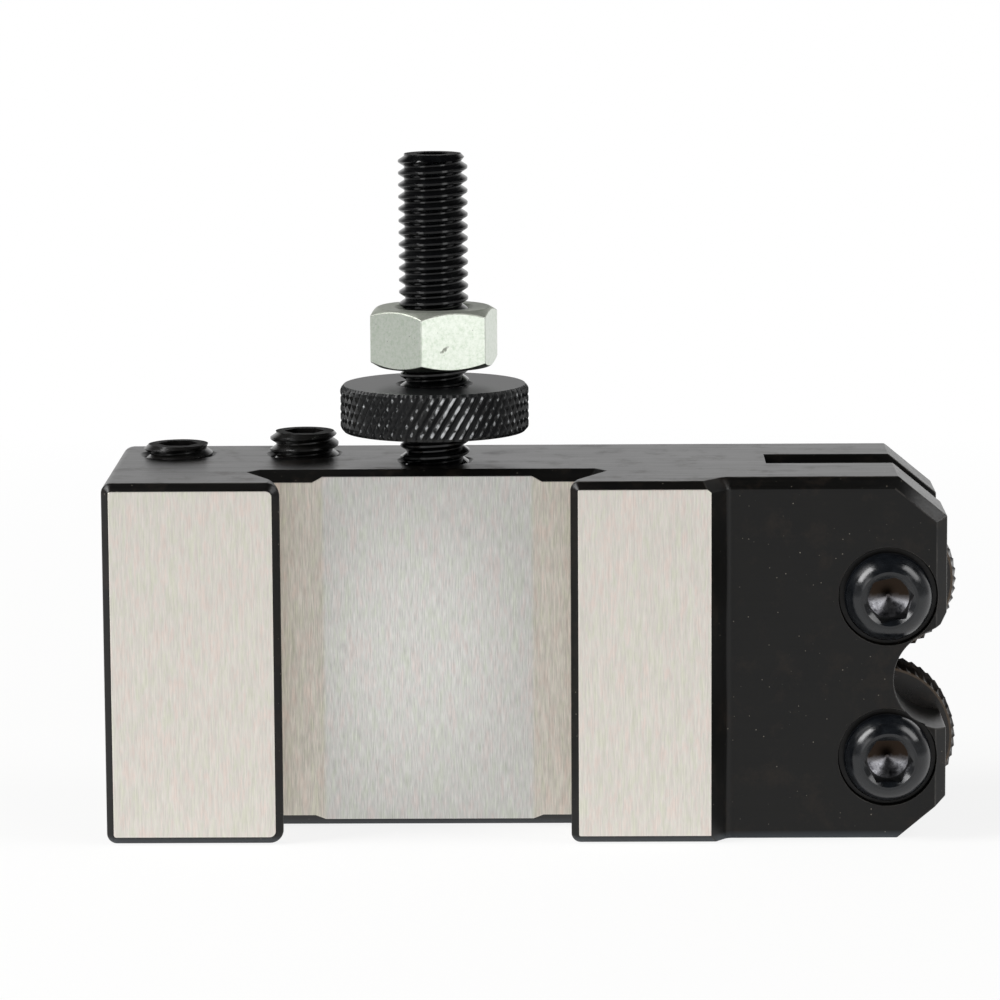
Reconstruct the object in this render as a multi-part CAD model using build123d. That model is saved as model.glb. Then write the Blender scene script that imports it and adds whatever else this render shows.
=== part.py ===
"""Quick change tool holder for a lathe, with two knurling wheels in its head.

Lengths are millimetres. The origin lies on the axis of the height stud, at the base face.
+X runs towards the knurling head, +Y away from the dovetail and +Z up along the stud.
"""

from build123d import *
import math
import os

# Body block
left_pad_width = 24.67
right_pad_width = 19.43
body_height = 50.8
body_depth = 37.7
stud_from_pads = 22.0
pad_edge = 1.05
left_rim_round = 1.4
rear_corner = 1.4
rear_edge = 0.4

# Dovetail recess, which the tool post's dovetail fills
dovetail_offset = -0.88
dovetail_mouth = 40.1
dovetail_land = 1.15
mouth_round_left = 1.9
mouth_round_right = 1.3
dovetail_undercut = 4.3
dovetail_depth = 11.7
dovetail_corner_width = 1.6
dovetail_corner_depth = 2.1
dovetail_top_edge = 1.6
relief_width = 29.4
relief_slope = 1.4
relief_depth = 0.7

# Knurling head
head_length = 30.4
head_set_back = 3.3
head_step = 2.4
head_step_fillet = 1.2
head_edge = 1.5
corner_run = 6.8
corner_drop_top = 5.6
corner_drop_bottom = 5.65
notch_radius = 7.0
notch_below_middle = 0.4
notch_centre_inset = 0.4
notch_flare_angle = 28.0
lobe_bevel_run = 0.9
lobe_bevel_rise = 1.6

# Knurling wheels
wheel_diameter = 21.0
wheel_width = 8.4
wheel_teeth = 46
wheel_tooth_depth = 0.45
wheel_tooth_angle = 30.0
wheel_edge = 0.5
wheel_from_right = 8.2
wheel_above_base = 0.95
wheel_gap = 1.7
wheel_running_gap = 0.05
wheel_side_gap = 0.15
slot_beyond_wheel = 5.9

# Button head pins that carry the wheels
pin_diameter = 6.0
pin_hole_gap = 0.05
pin_head_diameter = 12.2
pin_head_height = 4.6
pin_head_rim = 1.4
pin_head_foot_edge = 0.3
pin_dome_bulge = 0.51
pin_end_set_back = 0.8
pin_end_edge = 0.8
pin_socket_size = 5.9
pin_socket_edge = 0.35
pin_socket_depth = 2.6
pin_socket_drill = 1.5
pin_face_ring = 0.4
pin_upper_turn = 12.0
pin_lower_turn = 0.0
pin_recess_gap = 0.75
pin_recess_depth = 1.2

# Tool slot along the rear, and the screws that clamp the tool
tool_slot_height = 17.0
tool_slot_depth = 17.2
tool_slot_floor = 12.7
tool_slot_wall = 8.4
tool_slot_edge = 0.6
tool_slot_corner = 1.5
screw_diameter = 9.8
screw_length = 20.0
screw_from_rear = 8.5
screw_from_left = 8.6
screw_spacing = 18.1
screw_left_rise = 1.55
screw_right_rise = 3.3
screw_socket_size = 5.0
screw_socket_depth = 5.0
screw_socket_turn = 8.0
screw_top_edge = 0.65
screw_point_edge = 1.2
screw_plain_point = 2.0

# Height stud and its nuts
stud_diameter = 9.8
stud_rise = 43.6
stud_hole_depth = 16.0
stud_foot_gap = 0.5
stud_foot_edge = 0.8
stud_thread_below = 1.0
stud_top_edge = 0.9
stud_socket_size = 4.0
stud_socket_depth = 4.0
thread_pitch = 1.68
thread_depth = 0.85
thread_gap = 0.08
hole_edge = 0.5
knurled_nut_diameter = 26.7
knurled_nut_height = 6.6
knurled_nut_rise = 4.36
knurled_nut_edge = 0.4
lock_nut_size = 16.5
lock_nut_height = 8.4
lock_nut_gap = 2.6
lock_nut_turn = -9.3
lock_nut_flat_inset = 0.35
lock_nut_bevel = 30.0
nut_mouth_edge = 0.6

# How far a cut runs past the faces that it opens, and how near two points count as one
past = 1.0
touch = 0.001

# Places that follow from the sizes above
mouth_left = dovetail_offset - dovetail_mouth / 2
mouth_right = dovetail_offset + dovetail_mouth / 2
x_left = mouth_left - left_pad_width
x_pads_end = mouth_right + right_pad_width
x_head = x_pads_end + head_step
x_right = x_head + head_length
y_pads = -stud_from_pads
y_rear = body_depth - stud_from_pads
y_head = y_pads + head_set_back
dovetail_land_y = y_pads + dovetail_land
dovetail_floor = y_pads + dovetail_depth
dovetail_tip_y = dovetail_floor - dovetail_corner_depth
dovetail_half = dovetail_mouth / 2 + dovetail_undercut
wheel_x = x_right - wheel_from_right
wheel_lower_z = wheel_above_base + wheel_diameter / 2
wheel_upper_z = wheel_lower_z + wheel_diameter + wheel_gap
wheel_bore = pin_diameter + 2 * wheel_running_gap
wheel_slot_width = wheel_width + 2 * wheel_side_gap
wheel_slot_left = wheel_x - wheel_diameter / 2 - slot_beyond_wheel
notch_x = x_right - notch_centre_inset
notch_z = (wheel_lower_z + wheel_upper_z) / 2 - notch_below_middle
pin_seat_y = y_head + pin_recess_depth
tool_slot_front = y_rear - tool_slot_depth
tool_slot_top = tool_slot_floor + tool_slot_height
tool_slot_end = wheel_slot_left - tool_slot_wall
screw_y = y_rear - screw_from_rear
screw_left_x = x_left + screw_from_left
screw_right_x = screw_left_x + screw_spacing
stud_top_z = body_height + stud_rise
nut_bore = stud_diameter + 2 * thread_gap
knurled_nut_z = body_height + knurled_nut_rise
lock_nut_z = knurled_nut_z + knurled_nut_height + lock_nut_gap


def block(x0, x1, y0, y1, z0, z1):
    """A box between two corners."""
    size = (x1 - x0, y1 - y0, z1 - z0)
    centre = ((x0 + x1) / 2, (y0 + y1) / 2, (z0 + z1) / 2)
    return Pos(*centre) * Box(*size)


def upright(radius, z0, z1):
    """A cylinder along Z."""
    return Pos(0, 0, (z0 + z1) / 2) * Cylinder(radius, z1 - z0)


def turned(points):
    """A solid turned about Z from its outline, given as radius and height."""
    outline = Polyline(*[(r, 0, z) for r, z in points], close=True)
    return revolve(make_face(outline), Axis.Z)


def along_y(solid, z):
    """The solid laid over so that its Z axis becomes a wheel's axis, along Y at height z."""
    return Plane(origin=(wheel_x, 0, z), x_dir=(1, 0, 0), z_dir=(0, 1, 0)) * solid


def cut_along_y(points):
    """A cutting shape that runs right through the block along Y, from X and Z."""
    behind = Plane.XZ.offset(-y_rear - past)
    return extrude(behind * make_face(Polyline(*points, close=True)), body_depth + 2 * past)


def hex_prism(across_flats, z0, z1, turn=0.0):
    """A hexagonal prism along Z, with a corner towards -Y before its turn."""
    hexagon = RegularPolygon(across_flats / math.sqrt(3), 6, major_radius=True)
    return Pos(0, 0, z0) * Rot(0, 0, turn - 90) * extrude(hexagon, z1 - z0)


def hole_mouth(radius):
    """The cone that opens a hole's mouth in the block's top face."""
    low = body_height - hole_edge
    return turned([(0, low), (radius, low), (radius + hole_edge, body_height), (0, body_height)])


def at(value):
    """A range that holds one value."""
    return (value, value)


def edges_within(solid, x, y, z, level=None):
    """The edges whose middle lies within three ranges, and that keep their height or not if level says."""
    found = []
    for edge in solid.edges():
        inside = all(low - touch < v < high + touch for v, (low, high) in zip(edge @ 0.5, (x, y, z)))
        is_level = abs((edge @ 0).Z - (edge @ 1).Z) < touch
        if inside and level in (None, is_level):
            found.append(edge)
    return found


def threaded_outline(diameter, z0, z1, top_edge, bottom_edge, groove_from):
    """Radius and height of a rod whose thread is drawn as level rings above groove_from."""
    crest = diameter / 2
    root = crest - thread_depth
    flat = thread_pitch / 8
    points = [(0, z0), (crest - bottom_edge, z0), (crest, z0 + bottom_edge)]
    count = int((z1 - top_edge - groove_from) / thread_pitch)
    first = z1 - top_edge - count * thread_pitch
    for k in range(count):
        low = first + k * thread_pitch
        points.append((crest, low + flat / 2))
        points.append((root, low + thread_pitch / 2 - flat / 2))
        points.append((root, low + thread_pitch / 2 + flat / 2))
        points.append((crest, low + thread_pitch - flat / 2))
    points += [(crest, z1 - top_edge), (crest - top_edge, z1), (0, z1)]
    return points


def make_plan():
    """The block's outline seen from above, before its relief, chamfers and cuts."""
    corner = dovetail_half - dovetail_corner_width
    return Polyline(
        (x_left, y_pads),
        (mouth_left, y_pads),
        (mouth_left, dovetail_land_y),
        (dovetail_offset - dovetail_half, dovetail_tip_y),
        (dovetail_offset - corner, dovetail_floor),
        (dovetail_offset + corner, dovetail_floor),
        (dovetail_offset + dovetail_half, dovetail_tip_y),
        (mouth_right, dovetail_land_y),
        (mouth_right, y_pads),
        (x_pads_end, y_pads),
        (x_head, y_head),
        (x_right, y_head),
        (x_right, y_rear),
        (x_left, y_rear),
        close=True,
    )


def make_rim_waste(x, inward, z, into, y_end, radius):
    """What rounds a rim along Y. From the corner at x and z, two directions point into the steel."""
    centre_x = x + inward * radius
    centre_z = z + into * radius
    xs = sorted((x - inward * past, centre_x))
    zs = sorted((z - into * past, centre_z))
    y_start = y_pads - past
    core = Pos(centre_x, (y_start + y_end) / 2, centre_z) * Rot(90, 0, 0) * Cylinder(radius, y_end - y_start)
    return block(*xs, y_start, y_end, *zs) - core


def make_blank():
    """The block with its head corners cut and its outer edges chamfered."""
    blank = extrude(make_face(make_plan()), body_height)
    for z, drop in ((body_height, -corner_drop_top), (0.0, corner_drop_bottom)):
        outside = x_right + corner_run
        corners = [(x_right - corner_run, z), (x_right, z + drop), (outside, z + drop), (outside, z)]
        blank -= cut_along_y(corners)
    height = (0.0, body_height)

    # The head's front face, with the foot of the step rounded first and the base's rim left sharp
    blank = fillet(edges_within(blank, at(x_head), at(y_head), height, level=False), head_step_fillet)
    step_middle = (x_pads_end + x_head) / 2
    upper = (body_height / 4, body_height)
    behind_pads = (y_pads + 2 * touch, y_head)
    outline = edges_within(blank, (step_middle, x_right), behind_pads, at(body_height), level=True)
    outline += edges_within(blank, (x_right - corner_run, x_right), at(y_head), upper, level=False)
    blank = chamfer(outline, head_edge)

    # The back wall of the recess, and the rear corner and rims
    half = (dovetail_offset - dovetail_half, dovetail_offset + dovetail_half)
    slope_middle = (dovetail_tip_y + dovetail_floor) / 2
    wall = edges_within(blank, half, (slope_middle, dovetail_floor), height, level=True)
    blank = chamfer(wall, dovetail_top_edge)
    blank = chamfer(edges_within(blank, at(x_left), at(y_rear), height, level=False), rear_corner)
    rims = []
    for z in height:
        rims += edges_within(blank, (x_left + 2 * touch, x_right), (y_rear - rear_corner, y_rear), at(z))
    blank = chamfer(rims, rear_edge)

    # The left rims and the corners beside the mouth are round, and the pads' chamfer runs on round them
    for z, into in ((0.0, 1), (body_height, -1)):
        blank -= make_rim_waste(x_left, 1, z, into, y_rear + past, left_rim_round)
        blank -= make_rim_waste(mouth_left, -1, z, into, dovetail_tip_y, mouth_round_left)
        blank -= make_rim_waste(mouth_right, 1, z, into, dovetail_tip_y, mouth_round_right)
    pads = edges_within(blank, (x_left, x_pads_end), at(y_pads), height, level=True)
    pads += edges_within(blank, (x_left, mouth_right + mouth_round_right), at(y_pads), height, level=False)
    return chamfer(pads, pad_edge)


def make_relief():
    """The shallow ground channel in the back wall of the recess."""
    inner = relief_width / 2
    outer = inner + relief_slope
    outline = Polyline(
        (dovetail_offset - outer, dovetail_floor - past),
        (dovetail_offset - outer, dovetail_floor),
        (dovetail_offset - inner, dovetail_floor + relief_depth),
        (dovetail_offset + inner, dovetail_floor + relief_depth),
        (dovetail_offset + outer, dovetail_floor),
        (dovetail_offset + outer, dovetail_floor - past),
        close=True,
    )
    return extrude(make_face(outline), body_height)


def make_flare():
    """The upper side of the notch, which leaves its circle on a tangent and ends in the lobe's bevel."""
    angle = math.radians(notch_flare_angle)
    tangent_x = notch_x - notch_radius * math.sin(angle)
    tangent_z = notch_z + notch_radius * math.cos(angle)
    bevel_x = x_right - lobe_bevel_run
    bevel_z = tangent_z + (bevel_x - tangent_x) * math.tan(angle)
    outside = x_right + past
    lobe_z = bevel_z + lobe_bevel_rise * (outside - bevel_x) / lobe_bevel_run
    corners = [(notch_x, notch_z), (tangent_x, tangent_z), (bevel_x, bevel_z)]
    corners += [(outside, lobe_z), (outside, notch_z)]
    return cut_along_y(corners)


def make_tool_slot():
    """The space for the tool's shank, open at the left end and at the rear."""
    slot = block(x_left - past, tool_slot_end, tool_slot_front, y_rear + past, tool_slot_floor, tool_slot_top)
    inner = edges_within(slot, at(tool_slot_end), at(tool_slot_front), (tool_slot_floor, tool_slot_top))
    return fillet(inner, tool_slot_corner)


def make_pin_bore(z):
    """The recess for a pin's head, and its hole through to the rear face."""
    hole = pin_diameter / 2 + pin_hole_gap
    recess = pin_head_diameter / 2 + pin_recess_gap
    front = y_head - past
    back = y_rear + past
    outline = [(0, front), (recess, front), (recess, pin_seat_y), (hole, pin_seat_y), (hole, back), (0, back)]
    return along_y(turned(outline), z)


def make_holder_body():
    """The steel block: pads, dovetail recess, slotted head, tool slot and holes."""
    body = make_blank()
    body -= make_relief()
    body -= Pos(notch_x, 0, notch_z) * Rot(90, 0, 0) * Cylinder(notch_radius, 2 * body_depth)
    body -= make_flare()
    half = wheel_slot_width / 2
    body -= block(wheel_slot_left, x_right + past, -half, half, -past, body_height + past)

    body -= make_tool_slot()
    slot_height = (tool_slot_floor, tool_slot_top)
    left_end = (x_left, x_left + rear_corner)
    slot_rims = edges_within(body, left_end, (tool_slot_front, y_rear - 2 * touch), slot_height)
    slot_rims += edges_within(body, (x_left, tool_slot_end), at(y_rear), slot_height)
    body = chamfer(slot_rims, tool_slot_edge)

    body -= upright(nut_bore / 2, body_height - stud_hole_depth, body_height + past)
    body -= hole_mouth(nut_bore / 2)
    screw_hole = screw_diameter / 2 + thread_gap
    for x in (screw_left_x, screw_right_x):
        body -= Pos(x, screw_y, 0) * upright(screw_hole, tool_slot_top - past, body_height + past)
        body -= Pos(x, screw_y, 0) * hole_mouth(screw_hole)
    for z in (wheel_upper_z, wheel_lower_z):
        body -= make_pin_bore(z)
    return body


def make_height_stud():
    """The threaded stud, screwed into the block, with a socket in its top."""
    foot = body_height - stud_hole_depth + stud_foot_gap
    thread_from = body_height - stud_thread_below
    outline = threaded_outline(stud_diameter, foot, stud_top_z, stud_top_edge, stud_foot_edge, thread_from)
    return turned(outline) - hex_prism(stud_socket_size, stud_top_z - stud_socket_depth, stud_top_z + past)


def make_clamp_screw(x, rise):
    """A socket set screw that stands out of the top face by rise."""
    top = body_height + rise
    bottom = top - screw_length
    thread_from = bottom + screw_plain_point
    outline = threaded_outline(screw_diameter, bottom, top, screw_top_edge, screw_point_edge, thread_from)
    screw = turned(outline)
    screw -= hex_prism(screw_socket_size, top - screw_socket_depth, top + past, screw_socket_turn)
    return Pos(x, screw_y, 0) * screw


def make_knurled_nut():
    """The thumb nut, without its knurl."""
    z0 = knurled_nut_z
    z1 = z0 + knurled_nut_height
    r = knurled_nut_diameter / 2
    e = knurled_nut_edge
    b = nut_bore / 2
    m = nut_mouth_edge
    outline = [(b, z0 + m), (b + m, z0), (r - e, z0), (r, z0 + e)]
    outline += [(r, z1 - e), (r - e, z1), (b + m, z1), (b, z1 - m)]
    return turned(outline)


def make_hex_lock_nut():
    """The hexagon nut, with its corners bevelled at both ends."""
    z0 = lock_nut_z
    z1 = z0 + lock_nut_height
    corner = lock_nut_size / math.sqrt(3)
    flat = lock_nut_size / 2 - lock_nut_flat_inset
    drop = (corner - flat) * math.tan(math.radians(lock_nut_bevel))
    b = nut_bore / 2
    m = nut_mouth_edge
    outline = [(b, z0 + m), (b + m, z0), (flat, z0), (corner, z0 + drop), (corner, z1 - drop), (flat, z1)]
    outline += [(b + m, z1), (b, z1 - m)]
    return hex_prism(lock_nut_size, z0, z1, lock_nut_turn) & turned(outline)


def wheel_section(turn, height):
    """One cross section of a toothed wheel, turned about its axis."""
    tip = wheel_diameter / 2
    root = tip - wheel_tooth_depth
    step = 360.0 / wheel_teeth
    points = []
    for k in range(wheel_teeth):
        for radius, part in ((tip, 0.0), (root, 0.5)):
            angle = math.radians(turn + (k + part) * step)
            points.append((radius * math.cos(angle), radius * math.sin(angle), height))
    return make_face(Polyline(*points, close=True))


def make_knurl_wheel(z, hand):
    """A wheel with slanted teeth: hand is 1 for right hand teeth and -1 for left hand."""
    half = wheel_width / 2
    r = wheel_diameter / 2
    e = wheel_edge
    b = wheel_bore / 2
    twist = math.degrees(wheel_width * math.tan(math.radians(wheel_tooth_angle)) / r)
    sections = [wheel_section(hand * twist * k / 2, half * (k - 1)) for k in range(3)]
    blank = turned([(b, -half), (r - e, -half), (r, e - half), (r, half - e), (r - e, half), (b, half)])
    return along_y(loft(sections, ruled=True) & blank, z)


def make_wheel_pin(z, turn):
    """A button head pin: its head seats in the head's recess and its shank carries the wheel."""
    r = pin_head_diameter / 2
    seat = pin_seat_y
    front = seat - pin_head_height
    rim = seat - pin_head_rim
    shank = pin_diameter / 2
    end = y_rear - pin_end_set_back
    mouth = pin_socket_size / math.sqrt(3) + pin_socket_edge
    flat = mouth + pin_face_ring
    foot = pin_head_foot_edge
    out = pin_dome_bulge / math.hypot(r - flat, rim - front)
    middle = ((r + flat) / 2 + out * (rim - front), 0, (rim + front) / 2 - out * (r - flat))
    dome = ThreePointArc((r, 0, rim), middle, (flat, 0, front))
    rest = [(flat, front), (0, front), (0, end), (shank - pin_end_edge, end), (shank, end - pin_end_edge)]
    rest += [(shank, seat), (r - foot, seat), (r, seat - foot), (r, rim)]
    outline = Polyline(*[(radius, 0, height) for radius, height in rest])
    pin = revolve(make_face([*outline.edges(), *dome.edges()]), Axis.Z)

    deep = front + pin_socket_depth
    entry = 2 * pin_socket_edge
    pin -= hex_prism(pin_socket_size, front - past, deep, turn)
    pin -= turned([(0, front), (mouth, front), (mouth - entry, front + entry), (0, front + entry)])
    pin -= turned([(0, deep - touch), (pin_socket_size / 2, deep - touch), (0, deep + pin_socket_drill)])
    return along_y(pin, z)


parts = {
    "holder_body": make_holder_body(),
    "height_stud": make_height_stud(),
    "knurled_nut": make_knurled_nut(),
    "hex_lock_nut": make_hex_lock_nut(),
    "left_clamp_screw": make_clamp_screw(screw_left_x, screw_left_rise),
    "right_clamp_screw": make_clamp_screw(screw_right_x, screw_right_rise),
    "upper_knurl_wheel": make_knurl_wheel(wheel_upper_z, 1),
    "lower_knurl_wheel": make_knurl_wheel(wheel_lower_z, -1),
    "upper_wheel_pin": make_wheel_pin(wheel_upper_z, pin_upper_turn),
    "lower_wheel_pin": make_wheel_pin(wheel_lower_z, pin_lower_turn),
}

os.makedirs("parts", exist_ok=True)
for name, solid in parts.items():
    export_step(solid, f"parts/{name}.step")
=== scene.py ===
"""A quick change tool holder with a knurling head, dressed for the photograph's view.

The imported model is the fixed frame. Every piece is modelled in metres where its solid stands,
and rides on the body that carries it.
"""
import math

import bmesh
import bpy
from mathutils import Matrix, Vector, noise


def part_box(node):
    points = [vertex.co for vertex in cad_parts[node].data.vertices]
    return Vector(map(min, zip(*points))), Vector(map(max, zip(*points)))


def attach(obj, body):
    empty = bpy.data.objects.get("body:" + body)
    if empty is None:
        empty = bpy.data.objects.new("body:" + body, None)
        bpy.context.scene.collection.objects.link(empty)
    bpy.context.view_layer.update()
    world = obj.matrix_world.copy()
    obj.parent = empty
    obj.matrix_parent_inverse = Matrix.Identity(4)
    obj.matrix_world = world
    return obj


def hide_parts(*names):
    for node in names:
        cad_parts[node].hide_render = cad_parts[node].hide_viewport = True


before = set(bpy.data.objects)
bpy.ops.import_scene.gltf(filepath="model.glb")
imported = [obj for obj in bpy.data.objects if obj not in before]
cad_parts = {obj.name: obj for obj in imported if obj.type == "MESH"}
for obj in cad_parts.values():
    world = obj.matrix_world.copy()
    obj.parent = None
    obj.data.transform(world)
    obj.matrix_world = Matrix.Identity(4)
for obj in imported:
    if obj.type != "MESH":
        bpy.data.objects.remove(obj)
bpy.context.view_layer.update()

bl_info = {
    "name": "Quick Change Tool Holder",
    "version": (1, 0, 0),
    "blender": (4, 5, 0),
    "location": "3D View > Sidebar > Tool Holder",
    "description": "Builds a tool holder with a ground dovetail, a height stud and a knurling head",
    "category": "Add Mesh",
}

MM = 0.001
FULL_TURN = 2 * math.pi
# Points nearer than this are one point, and a ring this small is a pole that still knows its angles
MERGE = 0.004 * MM
POLE = 0.0005 * MM
# Radius of both nuts' plain bore, which stands clear of the stud's crests
NUT_BORE = 4.98 * MM
# The dovetail recess lies a little left of the stud
RECESS_MIDDLE = -0.88 * MM
# Settings of nodes that several materials use
COLOURS = {"data_type": "RGBA"}
TINT = {"data_type": "RGBA", "blend_type": "MULTIPLY"}
SMOOTH = {"interpolation_type": "SMOOTHSTEP"}


# Sizes and colours that a user would change

class BlockSettings(bpy.types.PropertyGroup):
    edge_round: bpy.props.FloatProperty(
        name="Edge round", description="Width of the broken edge along every sharp corner",
        default=0.13 * MM, unit="LENGTH")
    oxide_colour: bpy.props.StringProperty(
        name="Oxide colour", description="Black oxide on the block, as a hex value", default="#0b0a08")
    ground_colour: bpy.props.StringProperty(
        name="Ground colour", description="Ground steel of the pads, as a hex value", default="#e9e4dc")
    recess_colour: bpy.props.StringProperty(
        name="Recess colour", description="Ground steel of the recess, as a hex value", default="#e2e1dd")
    # Painted shade: this strip colour is darker and warmer than the channel's, standing in for the shade
    # beside the dovetail's walls
    shaded_strip_colour: bpy.props.StringProperty(
        name="Strip colour", description="Ground steel beside the recess's channel, as a hex value",
        default="#d6d0c6")
    grind_line: bpy.props.FloatProperty(
        name="Grind line", description="Width of a line left by the grinding wheel",
        default=0.16 * MM, unit="LENGTH")


class ThreadSettings(bpy.types.PropertyGroup):
    pitch: bpy.props.FloatProperty(
        name="Pitch", description="Rise of the thread in one turn", default=1.68 * MM, unit="LENGTH")
    depth: bpy.props.FloatProperty(
        name="Depth", description="From the crest to the root", default=0.85 * MM, unit="LENGTH")
    steps: bpy.props.IntProperty(
        name="Steps", description="Flats in one turn of the thread", default=60)
    stud_start: bpy.props.FloatProperty(
        name="Stud thread start", description="Height above the base where the stud's thread shows first",
        default=48.6 * MM, unit="LENGTH")
    stud_socket: bpy.props.FloatProperty(
        name="Stud socket", description="Hexagon socket of the stud, across flats",
        default=4.0 * MM, unit="LENGTH")
    screw_socket: bpy.props.FloatProperty(
        name="Screw socket", description="Hexagon socket of the clamping screws, across flats",
        default=5.0 * MM, unit="LENGTH")


class ThumbNutSettings(bpy.types.PropertyGroup):
    teeth: bpy.props.IntProperty(
        name="Diamonds", description="Diamonds round the knurl", default=58)
    steps: bpy.props.IntProperty(
        name="Steps", description="Flats across one diamond", default=12)
    line_angle: bpy.props.FloatProperty(
        name="Line angle", description="Slant of the knurl's lines from the axis",
        default=math.radians(31.5), subtype="ANGLE")
    depth: bpy.props.FloatProperty(
        name="Depth", description="Depth of the knurl's deeper lines", default=0.45 * MM, unit="LENGTH")
    shallow_depth: bpy.props.FloatProperty(
        name="Shallow depth", description="Depth of the lines that lean the other way",
        default=0.42 * MM, unit="LENGTH")
    # The same angle sets where the knurl's crests are painted brightest, a painted highlight
    faint_at: bpy.props.FloatProperty(
        name="Faint at", description="Where round the nut the lines are faint and the crests rubbed",
        default=math.radians(-76), subtype="ANGLE")
    mouth: bpy.props.FloatProperty(
        name="Mouth", description="Radius of the countersink round the stud",
        default=5.5 * MM, unit="LENGTH")


class LockNutSettings(bpy.types.PropertyGroup):
    across_flats: bpy.props.FloatProperty(
        name="Across flats", description="Size of the hexagon", default=16.5 * MM, unit="LENGTH")
    turn: bpy.props.FloatProperty(
        name="Turn", description="Turn of the hexagon about the stud",
        default=math.radians(-9.3), subtype="ANGLE")
    dent: bpy.props.FloatVectorProperty(
        name="Dent", description="Where the small dent lies on the front facet",
        default=(1.96 * MM, -8.08 * MM, 67.86 * MM), subtype="XYZ", unit="LENGTH")
    zinc_colour: bpy.props.StringProperty(
        name="Zinc colour", description="Zinc plate, as a hex value", default="#d9ded5")
    dull_colour: bpy.props.StringProperty(
        name="Dull colour", description="Zinc plate on the scuffed top, as a hex value", default="#c0c2ba")


class WheelSettings(bpy.types.PropertyGroup):
    teeth: bpy.props.IntProperty(name="Teeth", description="Teeth round a wheel", default=46)
    tooth_depth: bpy.props.FloatProperty(
        name="Tooth depth", description="Depth of the teeth", default=0.45 * MM, unit="LENGTH")
    tooth_slant: bpy.props.FloatProperty(
        name="Tooth slant", description="Slant of the teeth from the axle",
        default=math.radians(30), subtype="ANGLE")
    bore: bpy.props.FloatProperty(
        name="Bore", description="Diameter of the hole for the pin", default=6.1 * MM, unit="LENGTH")
    edge: bpy.props.FloatProperty(
        name="Edge", description="Chamfer at both sides of the teeth", default=0.5 * MM, unit="LENGTH")


class PinSettings(bpy.types.PropertyGroup):
    shank: bpy.props.FloatProperty(
        name="Shank", description="Diameter of the plain shank", default=6.0 * MM, unit="LENGTH")
    head_height: bpy.props.FloatProperty(
        name="Head height", description="Height of the button head", default=4.6 * MM, unit="LENGTH")
    rim: bpy.props.FloatProperty(
        name="Rim", description="Upright part of the head's side", default=1.4 * MM, unit="LENGTH")
    bulge: bpy.props.FloatProperty(
        name="Bulge", description="How far the dome stands out from a straight cone",
        default=0.51 * MM, unit="LENGTH")
    socket: bpy.props.FloatProperty(
        name="Socket", description="Hexagon socket, across flats", default=5.9 * MM, unit="LENGTH")
    socket_depth: bpy.props.FloatProperty(
        name="Socket depth", description="Depth of the socket's flats", default=3.0 * MM, unit="LENGTH")
    drill: bpy.props.FloatProperty(
        name="Drill", description="Depth of the cone below the socket's flats",
        default=1.15 * MM, unit="LENGTH")
    upper_turn: bpy.props.FloatProperty(
        name="Upper turn", description="Turn of the upper pin's socket",
        default=math.radians(12), subtype="ANGLE")
    lower_turn: bpy.props.FloatProperty(
        name="Lower turn", description="Turn of the lower pin's socket", default=0.0, subtype="ANGLE")


class StageSettings(bpy.types.PropertyGroup):
    eye: bpy.props.FloatVectorProperty(
        name="Eye", description="Where the camera stands",
        default=(19.37 * MM, -696.95 * MM, 152.14 * MM), subtype="XYZ", unit="LENGTH")
    pitch: bpy.props.FloatProperty(
        name="Pitch", description="How far the camera looks down",
        default=math.radians(8.736), subtype="ANGLE")
    yaw: bpy.props.FloatProperty(
        name="Yaw", description="How far the camera looks to the right",
        default=math.radians(-0.837), subtype="ANGLE")
    roll: bpy.props.FloatProperty(
        name="Roll", description="How far the camera leans",
        default=math.radians(-0.357), subtype="ANGLE")
    lens: bpy.props.FloatProperty(
        name="Lens", description="Focal length in millimetres on a 36 mm frame", default=178.66)
    floor_colour: bpy.props.StringProperty(
        name="Floor colour", description="Plain pale floor, as a hex value", default="#f4f4f2")


# Shapes that the pieces share

def span(node):
    """A solid's low corner, high corner and middle, and its radius along X."""
    low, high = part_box(node)
    return low, high, [(a + b) / 2 for a, b in zip(low, high)], (high[0] - low[0]) / 2


def hexagon_radius(angle, across_flats):
    """Radius of a hexagon at an angle, with a corner at angle 0."""
    from_flat = (angle % math.radians(60)) - math.radians(30)
    return across_flats / 2 / math.cos(from_flat)


def arc_points(start, end, bulge, count):
    """Points of an arc between two (radius, height) points, which stands out to the left by the bulge."""
    along = (end[0] - start[0], end[1] - start[1])
    chord = math.hypot(*along)
    radius = (chord ** 2 / 4 + bulge ** 2) / (2 * bulge)
    half = math.asin(chord / 2 / radius)
    out = (-along[1] / chord, along[0] / chord)
    points = []
    for step in range(count + 1):
        swing = -half + 2 * half * step / count
        run = 0.5 + math.sin(swing) * radius / chord
        rise = radius * math.cos(swing) - radius * math.cos(half)
        points.append(tuple(start[i] + along[i] * run + out[i] * rise for i in (0, 1)))
    return points


def place_ring(verts, radius, height):
    """Moves a ring's points to a radius and a height about the Z axis; either may depend on the angle."""
    for v in verts:
        angle = math.atan2(v.co.y, v.co.x)
        r, z = (value(angle) if callable(value) else value for value in (radius, height))
        r = max(POLE, r)
        v.co = (r * math.cos(angle), r * math.sin(angle), z)


def next_ring(bm, edges, radius, height):
    """Draws a loop of edges on to a new ring about the Z axis, and returns the new loop."""
    made = bmesh.ops.extrude_edge_only(bm, edges=edges)["geom"]
    verts = {g for g in made if isinstance(g, bmesh.types.BMVert)}
    place_ring(verts, radius, height)
    return [g for g in made if isinstance(g, bmesh.types.BMEdge) and all(v in verts for v in g.verts)]


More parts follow.
